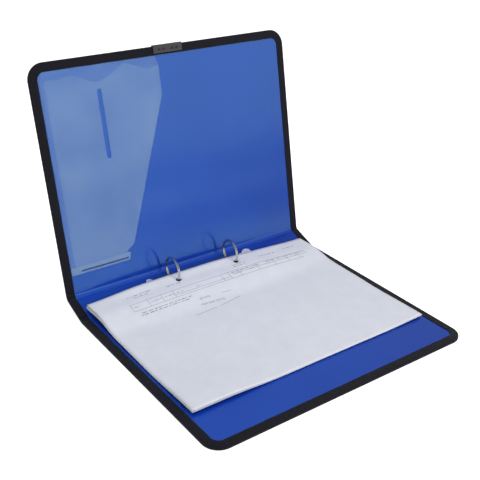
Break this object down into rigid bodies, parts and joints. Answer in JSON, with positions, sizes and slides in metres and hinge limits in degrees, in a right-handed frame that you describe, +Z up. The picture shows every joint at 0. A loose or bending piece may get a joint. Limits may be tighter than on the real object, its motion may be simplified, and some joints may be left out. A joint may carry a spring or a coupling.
{
  "type": "ring binder",
  "caption": "Open two-ring binder with tape-bound blue covers, trigger-opened rings on the spine, a cut-away film pocket and punched sheets on the rings.",
  "frame": {"origin": "centre of the back cover's underside, on the table", "axes": "+X along the spine to the reader's right, -Y from the spine to the back cover's free edge, +Z up out of the table"},
  "size_m": [0.322, 0.3356, 0.2607],
  "materials": {
    "board": "grey stiffening board, seen nowhere",
    "blue_skin": "outer blue plastic sheet, fine leather grain",
    "blue_lining": "inner blue plastic sheet, glossy",
    "edge_tape": "black woven edge tape",
    "clear_film": "clear frosted film over blue",
    "steel": "bright nickel plating",
    "spring_steel": "plain plated strip",
    "badge": "dull grey plate",
    "badge_mark": "dark studs",
    "paper": "uncoated white office paper"
  },
  "bodies": {
    "back_cover": {"back_board": "board", "back_outer_skin": "blue_skin", "back_lining": "blue_lining", "back_binding": "edge_tape"},
    "spine": {"spine_board": "board", "spine_outer_skin": "blue_skin", "spine_lining": "blue_lining", "spine_binding_left": "edge_tape", "spine_binding_right": "edge_tape", "back_crease": "blue_lining", "front_crease": "blue_lining", "ring_housing": "steel", "left_rivet": "steel", "right_rivet": "steel", "left_washer": "steel", "right_washer": "steel", "left_trigger_pin": "spring_steel", "right_trigger_pin": "spring_steel"},
    "front_cover": {"front_board": "board", "front_outer_skin": "blue_skin", "front_lining": "blue_lining", "front_binding": "edge_tape", "front_pocket": "clear_film", "pocket_hem": "clear_film", "badge_plate": "badge", "badge_rivets": "badge_mark"},
    "ring_rear": {"rear_carrier": "spring_steel", "rear_ring_left": "steel", "rear_ring_right": "steel"},
    "ring_front": {"front_carrier": "spring_steel", "front_ring_left": "steel", "front_ring_right": "steel"},
    "trigger_left": {"left_trigger": "steel"},
    "trigger_right": {"right_trigger": "steel"},
    "sheets": {"page_stack": "paper", "top_sheet": "paper"}
  },
  "joints": [
    {"name": "spine_fold", "type": "hinge", "parent": "back_cover", "child": "spine", "pos_m": [0, 0.125, 0.0032], "axis": [1, 0, 0], "range_deg": [0, 71]},
    {"name": "cover_fold", "type": "hinge", "parent": "spine", "child": "front_cover", "pos_m": [0, 0.15715, 0.01427], "axis": [1, 0, 0], "range_deg": [-78.4, 30.6]},
    {"name": "ring_rear_open", "type": "hinge", "parent": "spine", "child": "ring_rear", "pos_m": [0, 0.14528, 0.01156], "axis": [-1, 0, 0], "range_deg": [0, 5]},
    {"name": "ring_front_open", "type": "hinge", "parent": "spine", "child": "ring_front", "pos_m": [0, 0.13602, 0.00837], "axis": [1, 0, 0], "range_deg": [0, 5]},
    {"name": "trigger_left_press", "type": "hinge", "parent": "spine", "child": "trigger_left", "pos_m": [-0.0535, 0.14052, 0.01034], "axis": [0, -0.9455, -0.3256], "range_deg": [0, 6]},
    {"name": "trigger_right_press", "type": "hinge", "parent": "spine", "child": "trigger_right", "pos_m": [0.0535, 0.14052, 0.01034], "axis": [0, 0.9455, 0.3256], "range_deg": [0, 6]},
    {"name": "sheets_follow", "type": "hinge", "parent": "spine", "child": "sheets", "pos_m": [0, 0.1357, 0.02434], "axis": [1, 0, 0], "range_deg": [-72.9, 0]}
  ],
  "couplings": [
    {"joint": "ring_front_open", "follows": "ring_rear_open", "ratio": 1},
    {"joint": "trigger_left_press", "follows": "ring_rear_open", "ratio": 1.2},
    {"joint": "trigger_right_press", "follows": "ring_rear_open", "ratio": 1.2},
    {"joint": "sheets_follow", "follows": "spine_fold", "ratio": -1.026}
  ]
}
